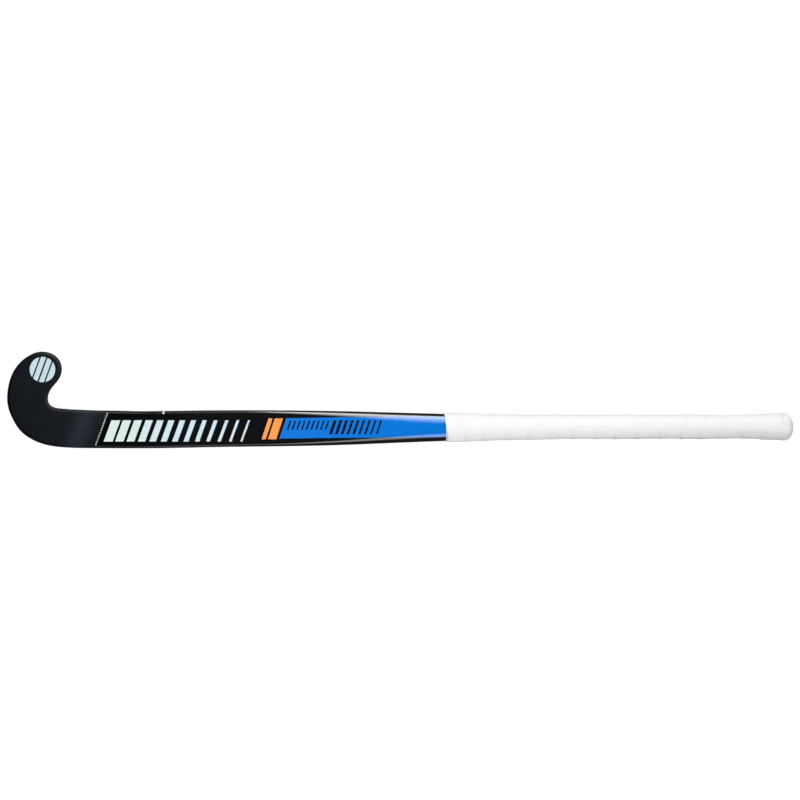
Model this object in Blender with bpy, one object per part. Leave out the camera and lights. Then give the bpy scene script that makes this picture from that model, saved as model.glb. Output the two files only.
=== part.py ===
# Composite indoor hockey stick, lying on its back with the flat playing face up.
# Metres. +X runs from the head to the butt, +Y toward the toe, +Z up, out of the playing face.
# Shapes are drawn from the head end, and the empty "stick" then moves them, so that the origin
# is at the middle of the footprint, on the surface that the stick lies on.

from collections import namedtuple
from math import acos, ceil, cos, pi, radians, sin, tan

import bpy
import bmesh
import numpy as np
from mathutils import Vector
from mathutils.geometry import interpolate_bezier

# Overall sizes
STICK_LENGTH = 0.927
GRIP_LENGTH = 0.411
CAP_LENGTH = 0.0132
BOW = 0.020
BOW_FROM_HEAD = 0.280
HEAD_FLAT_LENGTH = 0.120
GRIP_START = STICK_LENGTH - GRIP_LENGTH
CAP_START = STICK_LENGTH - CAP_LENGTH

# Sections of the stick: at the throat of the hook, three on the shaft, at the neck, where the grip
# starts, two on the straight handle, and on the knob. Each has its distance from the head end, its
# width and depth, how far the face's rounded edge reaches across and down, and how far its middle
# lies beside the handle's axis.
SHAFT_PLACES = (0.110, 0.180, 0.300, 0.390)
NECK_BEFORE_GRIP = 0.066
TAPER_UNDER_GRIP = 0.104
FLARE_BEFORE_CAP = 0.049
KNOB_BEFORE_CAP = 0.012
WIDTHS = (0.0447, 0.0436, 0.0428, 0.0403, 0.0365, 0.0322, 0.0262, 0.0256, 0.0290)
DEPTHS = (0.0200, 0.0210, 0.0218, 0.0226, 0.0234, 0.0246, 0.0256, 0.0252, 0.0286)
EDGES_ACROSS = (0.0040, 0.0032, 0.0036, 0.0076, 0.0112, 0.0140, 0.0105, 0.0098, 0.0110)
EDGES_DOWN = (0.0055, 0.0058, 0.0060, 0.0084, 0.0104, 0.0119, 0.0126, 0.0124, 0.0140)
OFFSETS = (-0.0026, -0.0028, -0.0016, -0.0012, -0.0008, -0.0004, 0.0, 0.0, 0.0)

# Outline of the hook, seen on the face, from the heel side of the throat round to its toe side:
# X from the head end and Y from the throat's middle, the outline's heading in degrees, and how far
# its curve is pulled straight before and after each knot, with the throat's two edges as the ends
HOOK_KNOTS = ((0.0165, -0.0030), (0.0000, 0.0345), (0.0300, 0.0895), (0.0647, 0.0710),
              (0.0530, 0.0495), (0.0481, 0.0365))
HOOK_HEADINGS = (180, 138, 90, 25, -90, -125, -90, -3)
PULLS_BEFORE = (0.0, 0.0300, 0.0150, 0.0175, 0.0185, 0.0040, 0.0040, 0.0445)
PULLS_AFTER = (0.0450, 0.0040, 0.0320, 0.0155, 0.0115, 0.0060, 0.0150, 0.0)
# The hook's sections stand on rays from this point, up to the ray where the toe's cap starts
HOOK_CENTRE = (0.060, 0.0355)
TOE_RAY = 120
TOE_DEPTH = 0.0175

# Walls and what lies inside
LAMINATE_WALL = 0.0024
TUBE_WALL = 0.0014
CORE_PAST_THROAT = 0.008
PLUG_LENGTH = 0.036
FIT = 0.0003
HALF_WEB_GAP = FIT / 2

# Grip: underlay, wound tape and finishing tape
UNDERLAY_THICKNESS = 0.0004
UNDERLAY_GAP = 0.00015
WRAP_GAP = 0.00045
TAPE_THICKNESS = 0.0011
TAPE_PITCH = 0.0253
TAPE_EDGE = 0.0003
TAPE_TAIL = 0.0050
TAPE_LAP = 0.0025
LAP_GAP = 0.0005
LIP_RUN = 0.0005
FINISH_WIDTH = 0.019
FINISH_THICKNESS = 0.0010
FINISH_SKEW = 0.0015

# Butt cap
CAP_CROWN = 0.0088
CAP_FULLNESS = 0.85

# Printed films on the face
FILM_THICKNESS = 0.0002
BAND_HALF_WIDTH = 0.0123
STRIPE_HALF_WIDTH = 0.0128
PRINT_SLANT = 18
BAND_LENGTH = 0.1902
WIDE_STRIPE_WIDTH = 0.0103
NARROW_STRIPE_WIDTH = 0.0062
STRIPE_SPACE = 0.0016
BAND_SPACE = 0.0028

# Facets
OUTLINE_STEPS = 40
EDGE_STEPS = 5
BACK_STEPS = 5
HOOK_STEPS = 20
TOE_STEPS = 14
TURN_POINTS = 24
FILM_STEPS = 9
STATION_STEP = 0.024
HANDLE_STEP = 0.062

# Places that follow from the sizes
THROAT = SHAFT_PLACES[0]
TAPER_END = GRIP_START + TAPER_UNDER_GRIP
FLARE_START = CAP_START - FLARE_BEFORE_CAP
KNOB_START = CAP_START - KNOB_BEFORE_CAP
SECTION_PLACES = SHAFT_PLACES + (GRIP_START - NECK_BEFORE_GRIP, GRIP_START, TAPER_END, FLARE_START,
                                 KNOB_START)
CORE_END = THROAT + CORE_PAST_THROAT
LAMINATE_END = STICK_LENGTH - CAP_CROWN
TUBE_END = LAMINATE_END - PLUG_LENGTH
FINISH_END = GRIP_START + FINISH_WIDTH
UNDERLAY_TOP = UNDERLAY_GAP + UNDERLAY_THICKNESS
GRIP_BASE = UNDERLAY_TOP + WRAP_GAP


def remove_scene_objects():
    for item in list(bpy.data.objects):
        bpy.data.objects.remove(item, do_unlink=True)


def material(name, display_colour, roughness, metallic=0.0):
    """A plain material from a colour as a screen shows it, 0 to 255."""
    linear = [((c / 255 + 0.055) / 1.055) ** 2.4 if c > 10 else c / 255 / 12.92 for c in display_colour]
    made = bpy.data.materials.new(name)
    made.use_nodes = True
    shader = made.node_tree.nodes["Principled BSDF"]
    shader.inputs["Base Color"].default_value = (*linear, 1.0)
    shader.inputs["Roughness"].default_value = roughness
    shader.inputs["Metallic"].default_value = metallic
    return made


def solid(name, points, faces, surface, crease=40):
    """One closed body from its points and faces, smooth up to the crease angle."""
    mesh = bpy.data.meshes.new(name)
    mesh.from_pydata([tuple(point) for point in points], [], faces)
    shape = bmesh.new()
    shape.from_mesh(mesh)
    bmesh.ops.recalc_face_normals(shape, faces=shape.faces)
    shape.to_mesh(mesh)
    shape.free()
    mesh.shade_smooth()
    mesh.set_sharp_from_angle(angle=radians(crease))
    mesh.materials.append(surface)
    body = bpy.data.objects.new(name, mesh)
    bpy.context.scene.collection.objects.link(body)
    return body


def loft(name, rings, surface, joined=False):
    """A body through closed rings. Its ends are capped, or the last ring joins the first."""
    count = len(rings[0])
    points = [point for ring in rings for point in ring]
    faces = []
    pairs = len(rings) if joined else len(rings) - 1
    for first in range(pairs):
        near = first * count
        far = (first + 1) % len(rings) * count
        for i in range(count):
            j = (i + 1) % count
            faces.append((near + i, near + j, far + j, far + i))
    if not joined:
        faces.append(tuple(range(count)))
        faces.append(tuple(len(points) - count + i for i in range(count)))
    return solid(name, points, faces, surface)


def slab(name, lower, upper, surface):
    """A thin body between two grids of points that have the same rows and columns."""
    columns = len(lower[0])
    shift = len(lower) * columns
    points = [point for grid in (lower, upper) for row in grid for point in row]
    faces = []
    for row in range(len(lower) - 1):
        for column in range(columns - 1):
            corner = row * columns + column
            face = (corner, corner + 1, corner + columns + 1, corner + columns)
            faces += [face, tuple(shift + number for number in face)]
    rim = list(range(columns)) + [row * columns + columns - 1 for row in range(1, len(lower))]
    rim += [shift - 1 - i for i in range(1, columns)]
    rim += [row * columns for row in range(len(lower) - 2, 0, -1)]
    for a, b in zip(rim, rim[1:] + rim[:1]):
        faces.append((a, b, shift + b, shift + a))
    return solid(name, points, faces, surface)


def smooth_between(knots, x):
    """A value on the smooth curve through (x, value) knots, which never overshoots them."""
    xs = [knot[0] for knot in knots]
    ys = [knot[1] for knot in knots]
    if x <= xs[0]:
        return ys[0]
    if x >= xs[-1]:
        return ys[-1]
    slopes = [(ys[i + 1] - ys[i]) / (xs[i + 1] - xs[i]) for i in range(len(xs) - 1)]
    leans = [slopes[0]]
    for before, after in zip(slopes, slopes[1:]):
        leans.append(2 * before * after / (before + after) if before * after > 0 else 0.0)
    leans.append(slopes[-1])
    i = max(k for k in range(len(xs) - 1) if xs[k] <= x)
    run = xs[i + 1] - xs[i]
    t = (x - xs[i]) / run
    return (ys[i] * (1 + 2 * t) * (1 - t) ** 2 + ys[i + 1] * t * t * (3 - 2 * t)
            + run * leans[i] * t * (1 - t) ** 2 - run * leans[i + 1] * t * t * (1 - t))


Section = namedtuple("Section", "width depth edge_across edge_down")


def section_at(x):
    """Width, depth and edge sizes of the shaft or handle at one distance from the head end."""
    columns = (WIDTHS, DEPTHS, EDGES_ACROSS, EDGES_DOWN)
    return Section(*[smooth_between(list(zip(SECTION_PLACES, column)), x) for column in columns])


def centre_line(x):
    return smooth_between(list(zip(SECTION_PLACES, OFFSETS)), x)


def face_height(x):
    """Height of the face's middle: straight head, two arcs that meet at the bow, straight handle."""
    front = BOW_FROM_HEAD - HEAD_FLAT_LENGTH
    front_bend = BOW / (front * front + 2 * front * HEAD_FLAT_LENGTH)
    back = GRIP_START - BOW_FROM_HEAD
    back_bend = BOW / (back * back + 2 * back * GRIP_LENGTH)
    if x < HEAD_FLAT_LENGTH:
        return -2 * front_bend * front * x
    if x < BOW_FROM_HEAD:
        return -BOW + front_bend * (BOW_FROM_HEAD - x) ** 2
    if x < GRIP_START:
        return -BOW + back_bend * (x - BOW_FROM_HEAD) ** 2
    return -BOW + back_bend * back * (2 * x - BOW_FROM_HEAD - GRIP_START)


def half_profile(reach, section, inset, from_centre=0.0):
    """(across, up) points from the face's middle round one edge to the middle of the back."""
    half_width = reach - inset
    edge_across = max(section.edge_across - inset, FIT)
    edge_down = max(section.edge_down - inset, FIT)
    back = section.depth - 2 * inset - edge_down
    points = [(from_centre, -inset)]
    for step in range(EDGE_STEPS + 1):
        turn = pi / 2 * step / EDGE_STEPS
        across = half_width - edge_across + edge_across * sin(turn)
        points.append((across, -inset - edge_down * (1 - cos(turn))))
    last_turn = acos(from_centre / half_width)
    for step in range(1, BACK_STEPS + 1):
        turn = last_turn * step / BACK_STEPS
        points.append((half_width * cos(turn), -inset - edge_down - back * sin(turn)))
    return points


def place(centre, toward, profile):
    """A profile's points in space, on the plane that stands on centre and faces along toward."""
    placed = []
    for across, up in profile:
        spot = centre + toward * across
        placed.append((spot.x, spot.y, face_height(spot.x) + up))
    return placed


Slice = namedtuple("Slice", "centre toward reach section")


def ring_of(cut, inset):
    """The closed ring of one slice, from the face's middle over the toe side to the heel side."""
    profile = half_profile(cut.reach, cut.section, inset)
    toe_side = place(cut.centre, cut.toward, profile)
    heel_side = place(cut.centre, -cut.toward, profile)
    return toe_side + heel_side[-2:0:-1]


def shaft_slice(x):
    section = section_at(x)
    return Slice(Vector((x, centre_line(x))), Vector((0, 1)), section.width / 2, section)


def bearing(degrees):
    return Vector((cos(radians(degrees)), sin(radians(degrees))))


def hook_outline():
    """Points along the hook's outline, in the frame of the whole stick."""
    edge = WIDTHS[0] / 2
    knots = [Vector(knot) for knot in ((THROAT, -edge), *HOOK_KNOTS, (THROAT, edge))]
    points = []
    for i in range(len(knots) - 1):
        leaving = knots[i] + bearing(HOOK_HEADINGS[i]) * PULLS_AFTER[i]
        arriving = knots[i + 1] - bearing(HOOK_HEADINGS[i + 1]) * PULLS_BEFORE[i + 1]
        points += interpolate_bezier(knots[i], leaving, arriving, knots[i + 1], OUTLINE_STEPS)[:-1]
    return [point + Vector((0, centre_line(THROAT))) for point in points + knots[-1:]]


def crossings(outline, start, toward):
    """Distances from start, along toward, at which the outline is crossed, nearest first."""
    side = Vector((-toward.y, toward.x))
    found = []
    for a, b in zip(outline, outline[1:]):
        off_a = (a - start).dot(side)
        off_b = (b - start).dot(side)
        if off_a * off_b <= 0 and off_a != off_b:
            along = (a.lerp(b, off_a / (off_a - off_b)) - start).dot(toward)
            if along > 0:
                found.append(along)
    return sorted(found)


def hook_slices():
    """Slices of the hook from its throat to the toe, and the toe's rays with their reach."""
    outline = hook_outline()
    middle = centre_line(THROAT)
    hook_centre = Vector(HOOK_CENTRE) + Vector((0, middle))
    slices = []
    straight = THROAT - hook_centre.x
    straight_steps = round(straight / STATION_STEP) + 1
    for step in range(1, straight_steps):
        start = Vector((THROAT - straight * step / straight_steps, middle))
        up = crossings(outline, start, Vector((0, 1)))[0]
        down = crossings(outline, start, Vector((0, -1)))[0]
        centre = start + Vector((0, (up - down) / 2))
        slices.append((centre, Vector((0, 1)), (up + down) / 2))
    for step in range(HOOK_STEPS + 1):
        outward = bearing(270 + (TOE_RAY - 270) * step / HOOK_STEPS)
        hits = crossings(outline, hook_centre, outward)
        centre = hook_centre + outward * (hits[0] + hits[-1]) / 2
        slices.append((centre, -outward, (hits[-1] - hits[0]) / 2))
    finished = []
    for number, (centre, toward, reach) in enumerate(slices, 1):
        depth = DEPTHS[0] + (TOE_DEPTH - DEPTHS[0]) * number / len(slices)
        section = Section(2 * reach, depth, EDGES_ACROSS[0], EDGES_DOWN[0])
        finished.append(Slice(centre, toward, reach, section))
    toe = finished[-1]
    rays = []
    for step in range(1, TOE_STEPS):
        toward = bearing(TOE_RAY - 180 + 180 * step / TOE_STEPS)
        rays.append(Slice(toe.centre, toward, crossings(outline, toe.centre, toward)[0], toe.section))
    return finished, rays


def stations_between(start, end):
    """Distances from the head end at which every piece of the shaft and handle is sliced, so that
    neighbours have the same facets: where a piece starts or ends, and evenly between."""
    marks = [CORE_END, SHAFT_PLACES[-1], GRIP_START + FINISH_SKEW, FINISH_END, TAPER_END, FLARE_START,
             TUBE_END, (FLARE_START + KNOB_START) / 2, KNOB_START, CAP_START]
    marks = [start] + sorted(mark for mark in marks if start + FIT < mark < end - FIT) + [end]
    stations = []
    for here, there in zip(marks, marks[1:]):
        longest = STATION_STEP if here < TAPER_END else HANDLE_STEP
        steps = max(1, round((there - here) / longest))
        stations += [here + (there - here) * i / steps for i in range(steps)]
    return stations + [end]


def stick_surface(inset, end):
    """Points and faces of the stick's skin, moved inward by inset, from its toe to an open end.
    Returns the points, the faces, and the open end's ring as point numbers."""
    hook, toe_rays = hook_slices()
    cuts = [shaft_slice(x) for x in reversed(stations_between(THROAT, end))]
    cuts += hook
    rings = [ring_of(cut, inset) for cut in cuts]
    count = len(rings[0])
    points = [point for ring in rings for point in ring]
    faces = []
    for first in range(len(rings) - 1):
        near = first * count
        far = near + count
        for i in range(count):
            j = (i + 1) % count
            faces.append((near + i, near + j, far + j, far + i))
    last = (len(rings) - 1) * count
    half = count // 2 + 1
    face_pole = last
    back_pole = last + half - 1
    previous = [last + i for i in range(half)]
    for ray in toe_rays:
        profile = place(ray.centre, ray.toward, half_profile(ray.reach, ray.section, inset))
        numbers = [face_pole] + [len(points) + i for i in range(half - 2)] + [back_pole]
        points += profile[1:-1]
        faces += fan_faces(previous, numbers)
        previous = numbers
    faces += fan_faces(previous, [last] + [last + count - i for i in range(1, half - 1)] + [back_pole])
    return points, faces, list(range(count))


def fan_faces(one, other):
    """Faces between two half profiles that share their first and last points."""
    faces = [(one[0], one[1], other[1])]
    faces += [(one[i], one[i + 1], other[i + 1], other[i]) for i in range(1, len(one) - 2)]
    faces.append((one[-2], one[-1], other[-2]))
    return faces


def outer_laminate(surface):
    """The one-piece shell of the stick, hollow and open at the butt."""
    points, faces, rim = stick_surface(0.0, LAMINATE_END)
    inner_points, inner_faces, inner_rim = stick_surface(LAMINATE_WALL, LAMINATE_END)
    shift = len(points)
    faces += [tuple(shift + number for number in face) for face in inner_faces]
    inner_rim = [shift + number for number in inner_rim]
    for i in range(len(rim)):
        j = (i + 1) % len(rim)
        faces.append((rim[i], rim[j], inner_rim[j], inner_rim[i]))
    return solid("outer_laminate", points + inner_points, faces, surface)


def head_core(surface):
    """The core that fills the hook."""
    points, faces, rim = stick_surface(LAMINATE_WALL + FIT, CORE_END)
    faces.append(tuple(rim))
    return solid("head_core", points, faces, surface)


def inner_tube(name, side, surface):
    """One of the two tubes in the shaft. side is 1 for the toe side, -1 for the heel side."""
    outside = LAMINATE_WALL + FIT
    outer_rings = []
    inner_rings = []
    for x in stations_between(CORE_END + FIT, TUBE_END):
        cut = shaft_slice(x)
        outer = half_profile(cut.reach, cut.section, outside, HALF_WEB_GAP)
        inner = half_profile(cut.reach, cut.section, outside + TUBE_WALL, HALF_WEB_GAP + TUBE_WALL)
        outer_rings.append(place(cut.centre, cut.toward * side, outer))
        inner_rings.append(place(cut.centre, cut.toward * side, inner))
    return loft(name, outer_rings + inner_rings[::-1], surface, joined=True)


def butt_plug(surface):
    """The plug that closes the handle behind the tubes."""
    stations = stations_between(TUBE_END + FIT, LAMINATE_END)
    return loft("butt_plug", [ring_of(shaft_slice(x), LAMINATE_WALL + FIT) for x in stations], surface)


def handle_ring(x, outset, scale=1.0):
    """A ring round the handle, raised from its laminate by outset, then scaled to its axis."""
    ring = ring_of(shaft_slice(x), -outset)
    middle = Vector((x, centre_line(x), face_height(x) - section_at(x).depth / 2))
    return [middle + (Vector(point) - middle) * scale for point in ring]


def butt_cap(surface):
    """The soft cover on the butt: a short skirt and a domed end with a flat middle."""
    skirt_top = GRIP_BASE + TAPE_THICKNESS
    dome_steps = 7
    last_turn = radians(75)
    rings = []
    for step in range(dome_steps, -1, -1):
        turn = last_turn * step / dome_steps
        along = (sin(turn) / sin(last_turn)) ** CAP_FULLNESS
        ring = handle_ring(CAP_START, skirt_top, cos(turn) ** CAP_FULLNESS)
        rings.append([point + Vector((CAP_LENGTH * along, 0, 0)) for point in ring])
    rings.append(handle_ring(CAP_START, FIT))
    rings.append(handle_ring(LAMINATE_END + FIT, FIT))
    return loft("butt_cap", rings, surface)


def grip_underlay(surface):
    """The thin underwrap between the laminate and the tape."""
    stations = stations_between(GRIP_START + FINISH_SKEW, CAP_START - FIT)
    outer = [handle_ring(x, UNDERLAY_TOP) for x in stations]
    inner = [handle_ring(x, UNDERLAY_GAP) for x in stations]
    return loft("grip_underlay", outer + inner[::-1], surface, joined=True)


def round_handle(x, angle, height):
    """A point over the grip's base, at an angle that turns from -Y over +Z, raised by height."""
    middle = section_at(x).depth / 2
    radius = np.interp(x, [station for station, _ in GRIP_BASE_RADII],
                       [radii[round(angle / (2 * pi) * TURN_POINTS) % TURN_POINTS]
                        for _, radii in GRIP_BASE_RADII]) + height
    return Vector((x, centre_line(x) - radius * cos(angle), face_height(x) - middle + radius * sin(angle)))


def grip_base_radii():
    """Each station of the grip with the radius of its base in TURN_POINTS directions."""
    directions = [2 * pi * step / TURN_POINTS for step in range(TURN_POINTS)]
    measured = []
    for x in stations_between(GRIP_START - FINISH_SKEW, CAP_START):
        section = section_at(x)
        half = half_profile(section.width / 2, section, -GRIP_BASE)
        ring = half + [(-across, up) for across, up in half[-2:0:-1]]
        middle = -section.depth / 2
        angles = [np.arctan2(up - middle, -across) for across, up in ring]
        radii = [np.hypot(across, up - middle) for across, up in ring]
        measured.append((x, np.interp(directions, angles, radii, period=2 * pi)))
    return measured


def finishing_tape(surface):
    """The band at the head end of the grip, wound slightly askew."""
    rings = []
    for step in range(TURN_POINTS):
        angle = 2 * pi * step / TURN_POINTS
        start = GRIP_START + FINISH_SKEW * cos(angle)
        ring = [(start, 0.0), (FINISH_END, 0.0), (FINISH_END, FINISH_THICKNESS), (start, FINISH_THICKNESS)]
        rings.append([round_handle(x, angle, height) for x, height in ring])
    return loft("finishing_tape", rings, surface, joined=True)


def tape_profile(left, right, lift, tail):
    """Section of the strip as (x, height) points. lift is 1 where its left edge rides on the turn
    before, and tail is 1 where its right edge thins out under the next turn."""
    tail_height = TAPE_THICKNESS + (TAPE_EDGE - TAPE_THICKNESS) * tail
    covered = TAPE_EDGE + (TAPE_THICKNESS - TAPE_EDGE) * TAPE_LAP / TAPE_TAIL
    under_lip = (covered + LAP_GAP) * lift
    under_heel = (TAPE_EDGE + LAP_GAP) * lift
    lip_top = max(under_lip + TAPE_EDGE, TAPE_THICKNESS)
    heel = left + TAPE_LAP + LIP_RUN
    return [(left, under_lip), (heel, under_heel), (heel + LIP_RUN, 0.0), ((heel + right) / 2, 0.0),
            (right, 0.0), (right, tail_height), (right - TAPE_TAIL, TAPE_THICKNESS), (left, lip_top)]


def grip_tape(surface):
    """One strip wound round the handle from the finishing tape to the cap, its ends cut square to
    the handle, so that its first turn widens and its last turn narrows."""
    start = FINISH_END + FIT
    end = CAP_START - FIT
    turns = round((end - start) / TAPE_PITCH)
    pitch = (end - start) / turns
    narrowest = TAPE_TAIL + LIP_RUN
    first = ceil((narrowest - TAPE_LAP) / pitch * TURN_POINTS)
    last = (turns + 1) * TURN_POINTS - ceil(narrowest / pitch * TURN_POINTS)
    rings = []
    for number in range(first, last + 1):
        turned = number / TURN_POINTS
        left = max(start, start + pitch * (turned - 1))
        right = min(end, start + pitch * turned + TAPE_LAP)
        lift = min(1.0, max(0.0, (number - first - TURN_POINTS) / 2 + 1))
        tail = min(1.0, max(0.0, (last - TURN_POINTS - number) / 2 + 1))
        angle = 2 * pi * turned
        rings.append([round_handle(x, angle, height)
                      for x, height in tape_profile(left, right, lift, tail)])
    report_least_gap(rings)
    return loft("grip_tape", rings, surface)


def report_least_gap(rings):
    """Prints the least distance between a turn of the tape and the next one, on points along
    their edges."""
    def along_edges(ring):
        return [a.lerp(b, i / 12) for a, b in zip(ring, ring[1:] + ring[:1]) for i in range(12)]

    least = 1.0
    for index in range(len(rings) - TURN_POINTS):
        here = np.array(along_edges(rings[index]))
        there = np.array(along_edges(rings[index + TURN_POINTS]))
        apart = np.linalg.norm(here[:, None, :] - there[None, :, :], axis=2)
        least = min(least, float(apart.min()))
    print(f"grip_tape: least gap to itself {least * 1000:.3f} mm")


def printed_film(name, start, end, half_width, slant_end, surface):
    """A thin film on the face between two distances from the head end. Its start is slanted, and
    its end by slant_end degrees."""
    spots = [half_width * i / FILM_STEPS for i in range(-FILM_STEPS, FILM_STEPS + 1)]
    grids = []
    for outset in (FIT, FIT + FILM_THICKNESS):
        grid = []
        for x in stations_between(start, end):
            t = (x - start) / (end - start)
            lean = tan(radians(PRINT_SLANT)) * (1 - t) + tan(radians(slant_end)) * t
            section = section_at(x)
            profile = half_profile(section.width / 2, section, -outset)[:EDGE_STEPS + 2]
            ups = np.interp(np.abs(spots), [point[0] for point in profile], [point[1] for point in profile])
            grid.append([(x + lean * across, centre_line(x) + across, face_height(x + lean * across) + up)
                         for across, up in zip(spots, ups)])
        grids.append(grid)
    return slab(name, *grids, surface)


def set_on_floor(bodies):
    """Hangs the bodies on the empty "stick" and moves it, so that the origin is at the middle of
    the footprint and the lowest point is at zero."""
    spots = np.array([corner.co for body in bodies for corner in body.data.vertices])
    low = spots.min(axis=0)
    high = spots.max(axis=0)
    stick = bpy.data.objects.new("stick", None)
    stick.location = (-(low[0] + high[0]) / 2, -(low[1] + high[1]) / 2, -low[2])
    bpy.context.scene.collection.objects.link(stick)
    for body in bodies:
        body.parent = stick
    print(f"stick: moved by {tuple(round(value, 6) for value in stick.location)}")


def build():
    remove_scene_objects()
    shell = material("black_laminate", (20, 23, 28), 0.25)
    fibre = material("inner_fibre", (44, 44, 46), 0.5)
    core = material("core_foam", (196, 178, 138), 0.8)
    foam = material("plug_foam", (226, 214, 178), 0.8)
    wrap = material("white_wrap", (244, 245, 247), 0.6)
    underwrap = material("underwrap", (214, 214, 210), 0.8)
    cover = material("white_rubber", (232, 234, 238), 0.6)
    blue = material("blue_print", (14, 120, 218), 0.2)
    orange = material("orange_print", (254, 162, 88), 0.25)

    band_start = GRIP_START - BAND_LENGTH
    wide_start = band_start - BAND_SPACE - WIDE_STRIPE_WIDTH
    narrow_start = wide_start - STRIPE_SPACE - NARROW_STRIPE_WIDTH
    bodies = [
        outer_laminate(shell),
        head_core(core),
        inner_tube("toe_side_tube", 1, fibre),
        inner_tube("heel_side_tube", -1, fibre),
        butt_plug(foam),
        butt_cap(cover),
        grip_underlay(underwrap),
        grip_tape(wrap),
        finishing_tape(wrap),
        printed_film("blue_band", band_start, GRIP_START - FINISH_SKEW - FIT,
                     BAND_HALF_WIDTH, 0, blue),
        printed_film("orange_stripe_wide", wide_start, wide_start + WIDE_STRIPE_WIDTH,
                     STRIPE_HALF_WIDTH, PRINT_SLANT, orange),
        printed_film("orange_stripe_narrow", narrow_start, narrow_start + NARROW_STRIPE_WIDTH,
                     STRIPE_HALF_WIDTH, PRINT_SLANT, orange),
    ]
    set_on_floor(bodies)


GRIP_BASE_RADII = grip_base_radii()
build()
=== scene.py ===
from math import cos, pi, radians, sin, sqrt, tan

import bpy
import numpy as np
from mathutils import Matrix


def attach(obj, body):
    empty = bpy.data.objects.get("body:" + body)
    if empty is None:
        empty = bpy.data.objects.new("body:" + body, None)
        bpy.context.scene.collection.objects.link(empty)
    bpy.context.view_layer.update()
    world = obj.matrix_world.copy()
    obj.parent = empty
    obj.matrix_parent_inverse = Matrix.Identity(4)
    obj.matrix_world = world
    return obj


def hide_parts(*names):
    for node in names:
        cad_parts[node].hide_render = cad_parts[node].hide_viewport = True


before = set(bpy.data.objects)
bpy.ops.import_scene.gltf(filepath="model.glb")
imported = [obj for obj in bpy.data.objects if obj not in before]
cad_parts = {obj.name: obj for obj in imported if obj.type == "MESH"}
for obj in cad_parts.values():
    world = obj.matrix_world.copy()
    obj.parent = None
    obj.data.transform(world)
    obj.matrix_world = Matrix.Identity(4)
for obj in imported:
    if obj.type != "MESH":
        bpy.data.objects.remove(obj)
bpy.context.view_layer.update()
bpy.context.scene.view_settings.view_transform = "Standard"


# Studio. A long-lens camera straight above the stick, over a floor that the camera sees as white.
# Soft lamps on the toe side, brighter toward the floor, a dimmer one on the heel side and one past
# the butt show in the lacquer and on the hook's edge. Four others light the colours and the grip.
LENS, SENSOR = 200, 36
FRAME_WIDTH = 0.94285
FACE_HEIGHT = 0.033
VIEW_MIDDLE = (-0.0005, -0.0001)

camera = bpy.data.cameras.new("camera")
camera.lens = LENS
camera.sensor_width = SENSOR
viewer = bpy.data.objects.new("camera", camera)
viewer.location = (*VIEW_MIDDLE, FACE_HEIGHT + FRAME_WIDTH * LENS / SENSOR)
bpy.context.scene.collection.objects.link(viewer)
bpy.context.scene.camera = viewer


def soft_lamp(name, off_zenith, distance, middle, length, depth, radiance, mirrored, bearing=0):
    """A rectangular lamp, its long side along the stick, leaning off the zenith toward the toe
    side, or toward the heel side where the angle is negative. It is either mirrored in glossy
    surfaces or lights them all evenly. Its bearing turns it away from the toe side."""
    lamp = bpy.data.lights.new(name, "AREA")
    lamp.shape = "RECTANGLE"
    lamp.size = length
    lamp.size_y = depth
    lamp.energy = radiance * pi * length * depth
    holder = bpy.data.objects.new(name, lamp)
    lean, turn = radians(off_zenith), radians(bearing)
    aside = distance * sin(lean)
    holder.location = (middle - aside * sin(turn), aside * cos(turn), distance * cos(lean))
    holder.rotation_euler = (-lean, 0, turn)
    holder.visible_camera = False
    holder.visible_diffuse = not mirrored
    holder.visible_glossy = mirrored
    lamp.cycles.use_multiple_importance_sampling = mirrored
    bpy.context.scene.collection.objects.link(holder)


# Degrees off the zenith, distance, middle along the stick, length, depth and radiance of each.
soft_lamp("toe_side_strip", 74, 1.6, 0.50, 1.4, 0.90, 7.6, mirrored=True)
soft_lamp("toe_side_screen", 51, 1.6, 0.50, 1.4, 0.40, 2.0, mirrored=True)
soft_lamp("toe_side_panel", 44, 1.6, 0.50, 1.4, 0.78, 1.7, mirrored=True)
soft_lamp("toe_side_wash", 38, 1.6, 0.50, 1.4, 1.16, 1.3, mirrored=True)
soft_lamp("heel_side_strip", -54, 1.5, 0.60, 1.7, 0.80, 2.6, mirrored=True)
soft_lamp("hook_edge_strip", 70, 2.0, -0.4, 0.8, 0.50, 16, mirrored=True, bearing=-75)
soft_lamp("toe_side_fill", 66, 1.6, 0.0, 2.0, 0.60, 6.2, mirrored=False)
soft_lamp("heel_side_fill", -50, 1.2, -0.2, 1.0, 0.50, 6.5, mirrored=False)
soft_lamp("overhead_fill", 0, 2.4, 0.0, 2.6, 1.2, 2.3, mirrored=False)
soft_lamp("butt_end_fill", 80, 1.3, 0.46, 0.8, 0.4, 8.0, mirrored=False, bearing=-80)


def add(tree, kind, inputs=(), **settings):
    """A shader node with its settings, each input given as (name or number, socket or value)."""
    node = tree.nodes.new(kind)
    for key, value in settings.items():
        setattr(node, key, value)
    for key, value in inputs:
        if isinstance(value, bpy.types.NodeSocket):
            tree.links.new(value, node.inputs[key])
        else:
            node.inputs[key].default_value = value
    return node


def spread(tree, value, low, high, to_low, to_high):
    """A value from low to high, spread from to_low to to_high."""
    return add(tree, "ShaderNodeMapRange", [("Value", value), ("From Min", low), ("From Max", high),
                                            ("To Min", to_low), ("To Max", to_high)]).outputs[0]


def coordinate(tree, where, axis):
    """One coordinate of a place."""
    return add(tree, "ShaderNodeSeparateXYZ", [(0, where)]).outputs[axis]


HORIZON, ZENITH, HAZE_TOP = 0.05, 0.02, 0.55
ROOM_TINT, WHITE = (0.93, 0.97, 1, 1), (1, 1, 1, 1)

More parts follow.
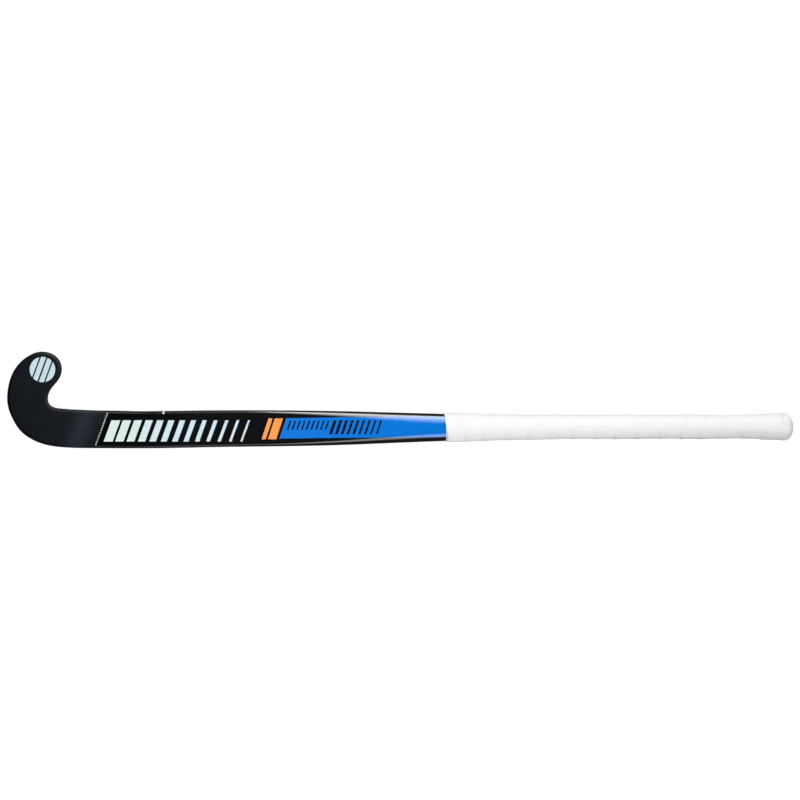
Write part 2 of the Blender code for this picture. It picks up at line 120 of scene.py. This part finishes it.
world = bpy.data.worlds.new("studio")
bpy.context.scene.world = world
world.use_nodes = True
tree = world.node_tree
tree.nodes.clear()
height = coordinate(tree, add(tree, "ShaderNodeTexCoord").outputs["Generated"], "Z")
glow = spread(tree, height, 0.0, HAZE_TOP, HORIZON, ZENITH)
room = add(tree, "ShaderNodeBackground", [("Color", ROOM_TINT), ("Strength", glow)])
backdrop = add(tree, "ShaderNodeBackground", [("Color", WHITE), ("Strength", 1.0)])
rays = add(tree, "ShaderNodeLightPath")
mixed = add(tree, "ShaderNodeMixShader", [(0, rays.outputs["Is Camera Ray"]), (1, room.outputs[0]),
                                          (2, backdrop.outputs[0])])
add(tree, "ShaderNodeOutputWorld", [("Surface", mixed.outputs[0])])

FLOOR_SIZE, FLOOR_DROP = 24, 0.0004
FLOOR_GREY, UNSEEN_GREY = (0.16, 0.16, 0.16, 1), (0.04, 0.04, 0.04, 1)
FLOOR_GLOW = 0.93

bpy.ops.mesh.primitive_plane_add(size=FLOOR_SIZE, location=(0, 0, -FLOOR_DROP))
floor = bpy.context.active_object
floor.name = "floor"
paint = bpy.data.materials.new("floor_paint")
paint.use_nodes = True
tree = paint.node_tree
tree.nodes.clear()
lit = add(tree, "ShaderNodeBsdfDiffuse", [("Color", FLOOR_GREY)])
glow = add(tree, "ShaderNodeEmission", [("Color", WHITE), ("Strength", FLOOR_GLOW)])
seen = add(tree, "ShaderNodeAddShader", [(0, lit.outputs[0]), (1, glow.outputs[0])])
plain = add(tree, "ShaderNodeBsdfDiffuse", [("Color", UNSEEN_GREY)])
rays = add(tree, "ShaderNodeLightPath")
straight = add(tree, "ShaderNodeMath", [(0, rays.outputs["Is Camera Ray"]),
                                        (1, rays.outputs["Is Transmission Ray"])], operation="MAXIMUM")
mixed = add(tree, "ShaderNodeMixShader", [(0, straight.outputs[0]), (1, plain.outputs[0]),
                                          (2, seen.outputs[0])])
add(tree, "ShaderNodeOutputMaterial", [("Surface", mixed.outputs[0])])
floor.data.materials.append(paint)


# Head core. Rigid moulded foam that fills the hook and takes the ball's hits, bonded to the shell
# all round. The plug in the butt is a softer, paler foam.
def screen(*values):
    """A colour as a screen shows it, 0 to 255, as a shader takes it."""
    return [((v / 255 + 0.055) / 1.055) ** 2.4 if v > 10 else v / 255 / 12.92 for v in values] + [1.0]


def surface(name, **sockets):
    """A new finish, with its constants set on the shader's own sockets."""
    made = bpy.data.materials.new(name)
    made.use_nodes = True
    tree = made.node_tree
    shader = tree.nodes["Principled BSDF"]
    for key, value in sockets.items():
        shader.inputs[key.replace("_", " ")].default_value = value
    return made, tree, shader, add(tree, "ShaderNodeTexCoord").outputs["Object"]


def noise(tree, where, scale, detail=2.0, roughness=0.5):
    return add(tree, "ShaderNodeTexNoise", [("Vector", where), ("Scale", scale), ("Detail", detail),
                                            ("Roughness", roughness)]).outputs[0]


def vary(tree, cloud, low, high):
    """Noise, most of which lies between 0.3 and 0.7, spread from low to high."""
    return spread(tree, cloud, 0.3, 0.7, low, high)


def maths(tree, operation, *values):
    return add(tree, "ShaderNodeMath", list(enumerate(values)), operation=operation).outputs[0]


def blend(tree, share, one, other):
    """A colour between two, by share."""
    mix = add(tree, "ShaderNodeMix", [(0, share), (6, one), (7, other)], data_type="RGBA")
    return mix.outputs[2]


def shade(tree, colour, value):
    return add(tree, "ShaderNodeHueSaturation", [("Color", colour), ("Value", value)]).outputs[0]


def relief(tree, height, depth, under=None):
    """A bump of some depth in metres, on top of another."""
    bump = add(tree, "ShaderNodeBump", [("Height", height), ("Distance", depth), ("Strength", 1.0)])
    if under:
        tree.links.new(under, bump.inputs["Normal"])
    return bump.outputs[0]


def wire(tree, shader, colour, roughness, normal):
    """Links the three sockets that every finish varies."""
    tree.links.new(colour, shader.inputs["Base Color"])
    tree.links.new(roughness, shader.inputs["Roughness"])
    tree.links.new(normal, shader.inputs["Normal"])


def foam(name, tint, cell_scale):
    """Cut foam: small open cells, with painted shade darkening their pits."""
    finish, tree, shader, where = surface(name)
    cells = add(tree, "ShaderNodeTexVoronoi",
                [("Vector", where), ("Scale", cell_scale)]).outputs["Distance"]
    cloud = noise(tree, where, cell_scale / 12, 3.0)
    # Painted shade: the colour darkens toward the middle of each cell's pit.
    colour = shade(tree, blend(tree, cloud, screen(*[v - 10 for v in tint]), screen(*tint)),
                   spread(tree, cells, 0.0, 0.7, 1.05, 0.85))
    wire(tree, shader, colour, vary(tree, cloud, 0.78, 0.9), relief(tree, cells, -0.0003))
    return finish


def refinish(node, finish):
    """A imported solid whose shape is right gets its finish."""
    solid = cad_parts[node]
    solid.data.materials.clear()
    solid.data.materials.append(finish)


refinish("head_core", foam("core_foam", (196, 178, 138), 1400))
refinish("butt_plug", foam("plug_foam", (226, 214, 178), 900))


# Inner tubes. Two bladder-moulded tubes of woven fibre and resin, side by side from the core to the
# plug. Their inner walls meet as the web that stiffens the face.
def woven(name, one, other, pitch):
    """Two crossing sets of flat tows, in a checked weave."""
    finish, tree, shader, where = surface(name, IOR=1.55)
    turns = 2 * pi / pitch
    around = maths(tree, "ADD", coordinate(tree, where, "Y"), coordinate(tree, where, "Z"))
    over = maths(tree, "SINE", maths(tree, "MULTIPLY", coordinate(tree, where, "X"), turns))
    under = maths(tree, "SINE", maths(tree, "MULTIPLY", around, turns))
    weave = maths(tree, "MULTIPLY", over, under)
    fibres = noise(tree, where, 3000, 2.0)
    checks = spread(tree, weave, -0.4, 0.4, 0.0, 1.0)
    colour = shade(tree, blend(tree, checks, screen(*one), screen(*other)),
                   vary(tree, fibres, 0.85, 1.15))
    wire(tree, shader, colour, vary(tree, fibres, 0.32, 0.5), relief(tree, weave, 0.0001))
    return finish


fibre = woven("inner_fibre", (34, 35, 38), (62, 63, 66), 0.004)
refinish("toe_side_tube", fibre)
refinish("heel_side_tube", fibre)


# Laminate shell. Fibre and resin moulded in one piece, from the toe of the hook to the open end of
# the handle. The head is painted matte, and the shaft is lacquered from a slanted edge on.
AXIS = -0.0322
HALF_SHAFT, HALF_HANDLE = 0.016, 0.014
LACQUER_START, LACQUER_EDGE = -0.3508, 0.0004
NECK_END, FULL_LACQUER_START, SOFT_GLOSS_START = -0.300, -0.255, -0.245
SHAFT_LEAN = tan(radians(20))
# Middle and reach of a painted sheen: a lighter band painted into the head's matte colour.
PAINTED_SHEEN_MIDDLE, PAINTED_SHEEN_REACH = -0.3755, 0.020
# Each pair of rows holds places along the stick, and how far an edge is moved there.
ROUNDING_LOSS = ((-0.36, -0.33), (0, 0.0002))
HEEL_SIDE_TRIM = ((-0.345, -0.33, -0.301, -0.259, -0.23, -0.174, -0.12),
                  (0, -0.0004, -0.0004, 0, 0.0003, 0.0002, 0))
TOE_SIDE_TRIM = ((-0.345, -0.315, -0.301, -0.287, -0.273, -0.245, -0.23, -0.188, -0.14),
                 (0, 0.0004, 0.0004, 0.0001, -0.0001, -0.0004, -0.0005, -0.0002, 0))
HEEL_PULL = ((0.165, 0.185, 0.21, 0.25, 0.31, 0.36, 0.39, 0.415, 0.44, 0.465),
             (0, 0.0007, 0.0008, 0.0005, 0.0009, 0.0006, 0.0013, 0.0013, 0.0009, 0.0007))


def only(piece):
    """Selects one piece alone, in object mode."""
    bpy.ops.object.select_all(action="DESELECT")
    piece.select_set(True)
    bpy.context.view_layer.objects.active = piece


def start_from(node, name):
    """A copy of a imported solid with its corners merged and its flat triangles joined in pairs."""
    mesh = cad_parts[node].data.copy()
    mesh.materials.clear()
    piece = bpy.data.objects.new(name, mesh)
    bpy.context.scene.collection.objects.link(piece)
    only(piece)
    bpy.ops.mesh.customdata_custom_splitnormals_clear()
    bpy.ops.object.mode_set(mode="EDIT")
    bpy.ops.mesh.select_all(action="SELECT")
    bpy.ops.mesh.remove_doubles(threshold=0.00001)
    bpy.ops.mesh.tris_convert_to_quads(face_threshold=radians(50), shape_threshold=radians(70))
    bpy.ops.object.mode_set(mode="OBJECT")
    return piece


def finish_with(piece, kind, **settings):
    """Adds a modifier to a piece and applies it."""
    only(piece)
    modifier = piece.modifiers.new(kind.lower(), kind)
    for key, value in settings.items():
        setattr(modifier, key, value)
    bpy.ops.object.modifier_apply(modifier=modifier.name)


def corners(piece):
    """The places of a piece's corners, as rows of numbers."""
    places = np.empty(len(piece.data.vertices) * 3)
    piece.data.vertices.foreach_get("co", places)
    return places.reshape(-1, 3)


def move_to(piece, places):
    """Moves a piece's corners to new places."""
    piece.data.vertices.foreach_set("co", places.ravel())
    piece.data.update()


def pulled_in(places):
    """Places with the heel side of the handle drawn in, as it is under the hand-wound tape."""
    toward_heel = np.clip((AXIS - places[:, 1]) / HALF_HANDLE, 0, 1)
    return places + np.outer(toward_heel * np.interp(places[:, 0], *HEEL_PULL), (0, 1, 0))


def smooth_up(piece):
    """Rounds a piece by subdividing it twice."""
    finish_with(piece, "SUBSURF", levels=2, render_levels=2)


def slanted(tree, where, lean):
    """Where the leaning line through a spot crosses the handle's axis, along the stick."""
    across = maths(tree, "SUBTRACT", coordinate(tree, where, "Y"), AXIS)
    return maths(tree, "MULTIPLY_ADD", across, -lean, coordinate(tree, where, "X"))


def orange_peel(tree, where):
    """The slow unevenness of a sprayed lacquer."""
    return relief(tree, noise(tree, where, 160, 2.0), 0.00002)


shell = start_from("outer_laminate", "laminate_shell")
reach = corners(shell)
smooth_up(shell)
places = corners(shell)
outward = np.clip((places[:, 1] - AXIS) / HALF_SHAFT, -1, 1)
places[:, 1] += outward * np.interp(places[:, 0], *ROUNDING_LOSS)
places[:, 1] += np.clip(-outward, 0, 1) * np.interp(places[:, 0], *HEEL_SIDE_TRIM)
places[:, 1] -= np.clip(outward, 0, 1) * np.interp(places[:, 0], *TOE_SIDE_TRIM)
move_to(shell, np.clip(pulled_in(places), reach.min(axis=0), reach.max(axis=0)))
bpy.ops.object.shade_smooth_by_angle(angle=radians(50))

finish, tree, shader, where = surface("black_lacquer", Coat_Roughness=0.1, Coat_IOR=1.7,
                                      Specular_IOR_Level=0.2)
along = slanted(tree, where, SHAFT_LEAN)
lacquered = spread(tree, along, LACQUER_START - LACQUER_EDGE, LACQUER_START + LACQUER_EDGE, 0.0, 1.0)
grain = noise(tree, where, 1900, 3.0, 0.6)
cloud = noise(tree, where, 28, 4.0, 0.6)
# Painted sheen: the matte colour turns lighter in a band just before the lacquer's edge, as a painted
# highlight.
away = maths(tree, "ABSOLUTE", maths(tree, "SUBTRACT", along, PAINTED_SHEEN_MIDDLE))
painted_sheen = maths(tree, "SMOOTH_MIN", spread(tree, away, 0.0, PAINTED_SHEEN_REACH, 1.0, 0.0), 1.0, 0.3)
matte_colour = blend(tree, cloud, screen(7, 11, 18), screen(12, 16, 23))
matte_colour = blend(tree, painted_sheen, matte_colour, screen(31, 38, 45))
colour = blend(tree, lacquered, matte_colour, screen(7, 8, 11))
matte_rough = vary(tree, cloud, 0.45, 0.52)
gloss_rough = spread(tree, along, NECK_END, SOFT_GLOSS_START, 0.14, 0.37)
rough = add(tree, "ShaderNodeMix", [(0, lacquered), (2, matte_rough), (3, gloss_rough)]).outputs[0]
grain_depth = spread(tree, lacquered, 0.0, 1.0, 1.0, 0.05)
tooth = maths(tree, "MULTIPLY", grain, grain_depth)
wire(tree, shader, colour, rough, relief(tree, tooth, 0.00006, orange_peel(tree, where)))
thickness = spread(tree, along, NECK_END, FULL_LACQUER_START, 0.2, 1.0)
tree.links.new(maths(tree, "MULTIPLY", lacquered, thickness), shader.inputs["Coat Weight"])
shell.data.materials.append(finish)
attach(shell, "root")
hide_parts("outer_laminate")


# Printed inks. They lie on the shell under the lacquer: the blue band from the stripes to the grip,
# two orange stripes, and on the band a row of slim dark bars and a row of taller ones.
INK_RISE, INK_THICKNESS = 0.00004, 0.00005
DROP_HEIGHT = 0.06
STRIPE_LEAN = tan(radians(18.4))
STRIPE_LOW, STRIPE_HIGH = -0.0465, -0.0219
BAND_START, BAND_END = -0.1385, 0.0560
BAND_SHARES = (0, 0.35, 0.71, 1.0)
BAND_LOWS = (-0.0457, -0.0448, -0.0444, -0.0438)
BAND_HIGHS = (-0.0217, -0.0204, -0.0198, -0.0199)


def laid_print(name, patches, columns, rows):
    """One film of ink on the face. Each patch gives the place of a point from two shares, along and
    across it, and is a grid of columns and rows that is dropped on the shell."""
    parts = []
    for patch in patches:
        bpy.ops.mesh.primitive_grid_add(x_subdivisions=columns, y_subdivisions=rows, size=1)
        part = bpy.context.active_object
        for corner in part.data.vertices:
            corner.co = (*patch(corner.co.x + 0.5, corner.co.y + 0.5), DROP_HEIGHT)
        parts.append(part)
    only(parts[0])
    for part in parts:
        part.select_set(True)
    if len(parts) > 1:
        bpy.ops.object.join()
    film = bpy.context.active_object
    film.name = name
    finish_with(film, "SHRINKWRAP", target=shell, wrap_method="PROJECT", use_project_z=True,
                use_negative_direction=True, use_positive_direction=False, offset=INK_RISE)
    finish_with(film, "SOLIDIFY", thickness=INK_THICKNESS, offset=1.0)
    bpy.ops.object.shade_smooth_by_angle(angle=radians(40))
    return film


def leaning_bar(start, width, low, high, lean):
    """A patch between two leaning edges, from low to high across the face. Its start is where its
    near edge crosses the handle's axis."""
    def patch(u, v):
        y = low + (high - low) * v
        return start + width * u + lean * (y - AXIS), y
    return patch


def bar_row(count, start, pitch, width, thinning, low, high, lean):
    """Leaning bars in a row, each thinner than the one before by the same amount."""
    return [leaning_bar(start + pitch * i, width - thinning * i, low, high, lean)
            for i in range(count)]


def band_patch(u, v):
    """The blue band, which starts with the stripes' lean and ends straight, under the grip."""
    low, high = np.interp(u, BAND_SHARES, BAND_LOWS), np.interp(u, BAND_SHARES, BAND_HIGHS)
    y = low + (high - low) * v
    return BAND_START + (BAND_END - BAND_START) * u + STRIPE_LEAN * (1 - u) * (y - AXIS), y


def ink(name, one, other):
    """A printed colour under gloss lacquer, with the faint cloud that a screened ink has."""
    finish, tree, shader, where = surface(name, Coat_Weight=1.0, Coat_Roughness=0.1, Coat_IOR=1.7,
                                          Specular_IOR_Level=0.0)
    share = spread(tree, coordinate(tree, where, "X"), -0.15, 0.05, 0.0, 1.0)
    cloud = noise(tree, where, 300, 3.0)
    colour = shade(tree, blend(tree, share, one, other), vary(tree, cloud, 0.97, 1.03))
    rough = vary(tree, noise(tree, where, 28, 4.0), 0.3, 0.36)
    wire(tree, shader, colour, rough, orange_peel(tree, where))
    return finish


band = laid_print("blue_band_print", [band_patch], 120, 30)
band.data.materials.append(ink("blue_ink", screen(25, 121, 219), screen(5, 120, 220)))
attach(band, "root")
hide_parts("blue_band")

orange = ink("orange_ink", screen(255, 162, 88), screen(255, 158, 84))
for name, node, start, width in (("wide_stripe_print", "orange_stripe_wide", -0.1518, 0.0097),
                                 ("narrow_stripe_print", "orange_stripe_narrow", -0.1593, 0.0050)):
    edges = leaning_bar(start, width, STRIPE_LOW, STRIPE_HIGH, STRIPE_LEAN)
    stripe = laid_print(name, [edges], 6, 20)
    stripe.data.materials.append(orange)
    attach(stripe, "root")
    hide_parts(node)

dark_ink = ink("dark_ink", screen(14, 18, 26), screen(14, 18, 26))
slim = bar_row(count=9, start=-0.1332, pitch=0.0056, width=0.0019, thinning=0,
               low=-0.0352, high=-0.0246, lean=STRIPE_LEAN)
tall = bar_row(count=9, start=-0.0815, pitch=0.0069, width=0.0036, thinning=0.0002,
               low=-0.0405, high=-0.0240, lean=STRIPE_LEAN)
bars = laid_print("band_bars", slim + tall, 3, 12)
move_to(bars, corners(bars) + (0, 0, INK_RISE + INK_THICKNESS))
bars.data.materials.append(dark_ink)
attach(bars, "root")


# Pale print. A pearl ink that turns from mint to pale blue and sand: a row of leaning bars along the
# shaft, a fine dashed line where the lacquer starts, a tick on the toe-side edge and a barred disc.
MINT, PALE_BLUE = screen(218, 234, 226), screen(206, 228, 243)
SAND, HEAD_BLUE = screen(229, 226, 216), screen(203, 225, 233)
DASHES, DASHES_LOW = 14, -0.0533
DASH_PITCH, DASH_LENGTH, DASH_WIDTH = 0.0028, 0.0014, 0.0014
DISC_RADIUS, DISC_LEAN = 0.0150, radians(20)
DISC_CENTRE = (-0.4215, 0.0358)
DISC_BARS = ((-0.0149, -0.0083), (-0.0066, -0.0009), (0.0009, 0.0066), (0.0083, 0.0149))

pearl, tree, shader, where = surface("pearl_ink", Coat_Weight=0.6, Coat_Roughness=0.1)
along = coordinate(tree, where, "X")
on_head = spread(tree, along, -0.38, -0.37, 1.0, 0.0)
to_blue = spread(tree, along, -0.33, -0.24, 0.0, 1.0)
low_down = spread(tree, coordinate(tree, where, "Y"), -0.028, -0.050, 0.0, 1.0)
far_end = spread(tree, along, -0.26, -0.20, 0.0, 1.0)
tint = blend(tree, maths(tree, "MULTIPLY", low_down, far_end),
             blend(tree, to_blue, MINT, PALE_BLUE), SAND)
tint = blend(tree, on_head, tint, HEAD_BLUE)
flake = noise(tree, where, 2400, 2.0)
wire(tree, shader, shade(tree, tint, vary(tree, flake, 0.96, 1.03)),
     vary(tree, flake, 0.3, 0.4), orange_peel(tree, where))


def disc_bar(near, far):
    """A patch of the disc between two leaning lines, near and far from its centre."""
    def patch(u, v):
        away = near + (far - near) * u
        along = (2 * v - 1) * sqrt(DISC_RADIUS ** 2 - away ** 2)
        return (DISC_CENTRE[0] + away * cos(DISC_LEAN) + along * sin(DISC_LEAN),
                DISC_CENTRE[1] - away * sin(DISC_LEAN) + along * cos(DISC_LEAN))
    return patch


shaft_bars = bar_row(count=13, start=-0.3438, pitch=0.0134, width=0.0105, thinning=0.00067,
                     low=-0.0491, high=-0.0240, lean=SHAFT_LEAN)
dash_lows = [DASHES_LOW + DASH_PITCH * i for i in range(DASHES)]
dashes = [leaning_bar(LACQUER_START - DASH_WIDTH, DASH_WIDTH, low, low + DASH_LENGTH, SHAFT_LEAN)
          for low in dash_lows]
tick_mark = leaning_bar(start=-0.2872, width=0.0026, low=-0.0166, high=-0.0136, lean=SHAFT_LEAN)
row = laid_print("shaft_bars", shaft_bars, 6, 20)
line = laid_print("dashed_line", dashes, 3, 3)
tick = laid_print("edge_tick", [tick_mark], 6, 8)
disc = laid_print("toe_disc", [disc_bar(near, far) for near, far in DISC_BARS], 8, 24)
for piece in (row, line, tick, disc):
    piece.data.materials.append(pearl)
    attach(piece, "root")


# Grip underlay. A thin adhesive underwrap, wound on the handle before the tape. It is a woven
# polyester strip, and nothing of it shows when the grip is on.
underlay = start_from("grip_underlay", "underwrap_strip")
move_to(underlay, pulled_in(corners(underlay)))
underlay.data.materials.append(woven("underwrap", (208, 208, 204), (224, 224, 220), 0.0012))
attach(underlay, "root")
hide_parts("grip_underlay")


# Grip. A soft grained tape wound over the handle from the head side on, each turn lapped on the one
# before, with a short finishing tape that closes its head end. It is wound by hand, so its turns
# differ in width, and it lies a little unevenly.
START_SHIFT, START_LEAN, LEAN_REACH = 0.0005, -0.096, 0.006
HALF_TAPE = 0.0175
GRIP_END = 0.4497
FIRST_LAP, EVEN_PITCH = 0.0718, 0.02517
LAPS = (0.0734, 0.0962, 0.1232, 0.1486, 0.1742, 0.2007, 0.2277, 0.2518, 0.2764, 0.3039, 0.3292,
        0.3516, 0.3755, 0.3999, 0.4247)
# The second tint is painted shade, toward which the white turns near the butt.
TAPE_TINT, BUTT_SHADE_TINT = (245, 245, 244), (239, 240, 242)
TAPE_GRAIN, GRAIN_DEPTH, TAPE_ROUGHNESS = 1100, 0.00004, 0.62
UNEVENNESS, LUMP_SIZE = 0.0005, 0.011
SEAM_LAP = 0.0012
CLOSING_LAP = 3 * SEAM_LAP
SHADOW_TURNS, SHADOW_FADE, LIP_SHADE = (-0.12, -0.01), (-0.029, -0.040), 0.93


def soft_white(name, tint, grain_scale, grain_depth, rough):
    """A soft white surface with a fine grain and a faint change of shade. Toward the butt it is
    painted a little greyer, as painted shade."""
    finish, tree, shader, where = surface(name, Specular_IOR_Level=0.3)
    cloud = noise(tree, where, 45, 3.0)
    # Painted shade: the colour is blended greyer toward the butt.
    butt_shade = spread(tree, coordinate(tree, where, "X"), 0.20, 0.44, 0.0, 1.0)
    colour = blend(tree, cloud, screen(*[v - 3 for v in tint]), screen(*tint))
    colour = blend(tree, butt_shade, colour, screen(*BUTT_SHADE_TINT))
    grain = add(tree, "ShaderNodeTexVoronoi", [("Vector", where), ("Scale", grain_scale)],
                feature="SMOOTH_F1").outputs["Distance"]
    fine = relief(tree, noise(tree, where, grain_scale * 2.2, 3.0), grain_depth * 0.5)
    wire(tree, shader, colour, vary(tree, cloud, rough - 0.04, rough + 0.04),
         relief(tree, grain, grain_depth, fine))
    return finish, tree, shader, where, colour


def settle(piece):
    """Presses a soft piece in by small uneven amounts."""
    lumps = bpy.data.textures.new("lumps", "CLOUDS")
    lumps.noise_scale = LUMP_SIZE
    finish_with(piece, "DISPLACE", texture=lumps, texture_coords="LOCAL", strength=UNEVENNESS,
                mid_level=1.0)


closing = start_from("finishing_tape", "closing_tape")
places = corners(closing)
leaning_end = places[:, 0].min() + LEAN_REACH
shift = START_SHIFT + START_LEAN * np.clip(places[:, 1] - AXIS, -HALF_TAPE, HALF_TAPE)
places[:, 0] += np.interp(places[:, 0], (leaning_end, places[:, 0].max()), (1, 0)) * shift
end = places[:, 0].max()
places[:, 0] += np.interp(places[:, 0], (leaning_end, end), (0, LAPS[0] + CLOSING_LAP - end))
move_to(closing, places)
smooth_up(closing)
settle(closing)
bpy.ops.object.shade_smooth()
finish = soft_white("closing_white", TAPE_TINT, TAPE_GRAIN, GRAIN_DEPTH, TAPE_ROUGHNESS)[0]
closing.data.materials.append(finish)
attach(closing, "root")
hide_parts("finishing_tape")

grip = start_from("grip_tape", "wound_grip")
smooth_up(grip)
places = corners(grip)
middle = np.polyval(np.polyfit(places[:, 0], places[:, 2], 3), places[:, 0])
around = np.arctan2(places[:, 1] - AXIS, places[:, 2] - middle)
turns = grip.data.attributes.new("turns", "FLOAT", "POINT")
turns.data.foreach_set("value", (places[:, 0] - FIRST_LAP) / EVEN_PITCH - (around / pi + 0.5) / 2)
even_laps = [FIRST_LAP + EVEN_PITCH * i for i in range(len(LAPS))]
places[:, 0] = np.interp(places[:, 0], (*even_laps, GRIP_END), (*LAPS, GRIP_END + SEAM_LAP))
move_to(grip, pulled_in(places))
settle(grip)
bpy.ops.object.shade_smooth()

finish, tree, shader, where, colour = soft_white("white_tape", TAPE_TINT, TAPE_GRAIN, GRAIN_DEPTH,
                                                 TAPE_ROUGHNESS)
turned = add(tree, "ShaderNodeAttribute", attribute_name="turns").outputs["Fac"]
past_lap = maths(tree, "SUBTRACT", maths(tree, "FRACT", maths(tree, "ADD", turned, 0.5)), 0.5)
shadow = spread(tree, past_lap, *SHADOW_TURNS, 0.0, 1.0)
under_lip = maths(tree, "MULTIPLY", shadow, maths(tree, "LESS_THAN", past_lap, 0.0))
heel_side = spread(tree, coordinate(tree, where, "Y"), *SHADOW_FADE, 0.0, 1.0)
under_lip = maths(tree, "MULTIPLY", under_lip, heel_side)
shaded = shade(tree, colour, spread(tree, under_lip, 0.0, 1.0, 1.0, LIP_SHADE))
tree.links.new(shaded, shader.inputs["Base Color"])
grip.data.materials.append(finish)
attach(grip, "root")
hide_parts("grip_tape")


# Butt cap. A soft rubber cover pushed over the end of the handle, with a short skirt that meets the
# last turn of the tape. Its corners are moved out before it is rounded, so that it keeps its size.
ROUNDING_PASSES = 4
TOE_SIDE_FULLNESS = ((0.450, 0.456), (0, 0.0006))
DOME, FLATTER_DOME = (0.400, 0.457, 0.4635), (0.400, 0.457, 0.4627)

cap = start_from("butt_cap", "butt_cover")
wanted = corners(cap)
aimed = wanted.copy()
for _ in range(ROUNDING_PASSES):
    trial = cap.copy()
    trial.data = cap.data.copy()
    bpy.context.scene.collection.objects.link(trial)
    smooth_up(trial)
    aimed += wanted - corners(trial)[:len(wanted)]
    bpy.data.objects.remove(trial)
    move_to(cap, aimed)
smooth_up(cap)
places = pulled_in(np.clip(corners(cap), wanted.min(axis=0), wanted.max(axis=0)))
places[:, 1] += (places[:, 1] > AXIS) * np.interp(places[:, 0], *TOE_SIDE_FULLNESS)
places[:, 0] = np.interp(places[:, 0], DOME, FLATTER_DOME)
move_to(cap, places)
bpy.ops.object.shade_smooth()
finish = soft_white("white_rubber", TAPE_TINT, grain_scale=1500, grain_depth=0.00002, rough=0.55)[0]
cap.data.materials.append(finish)
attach(cap, "root")
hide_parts("butt_cap")
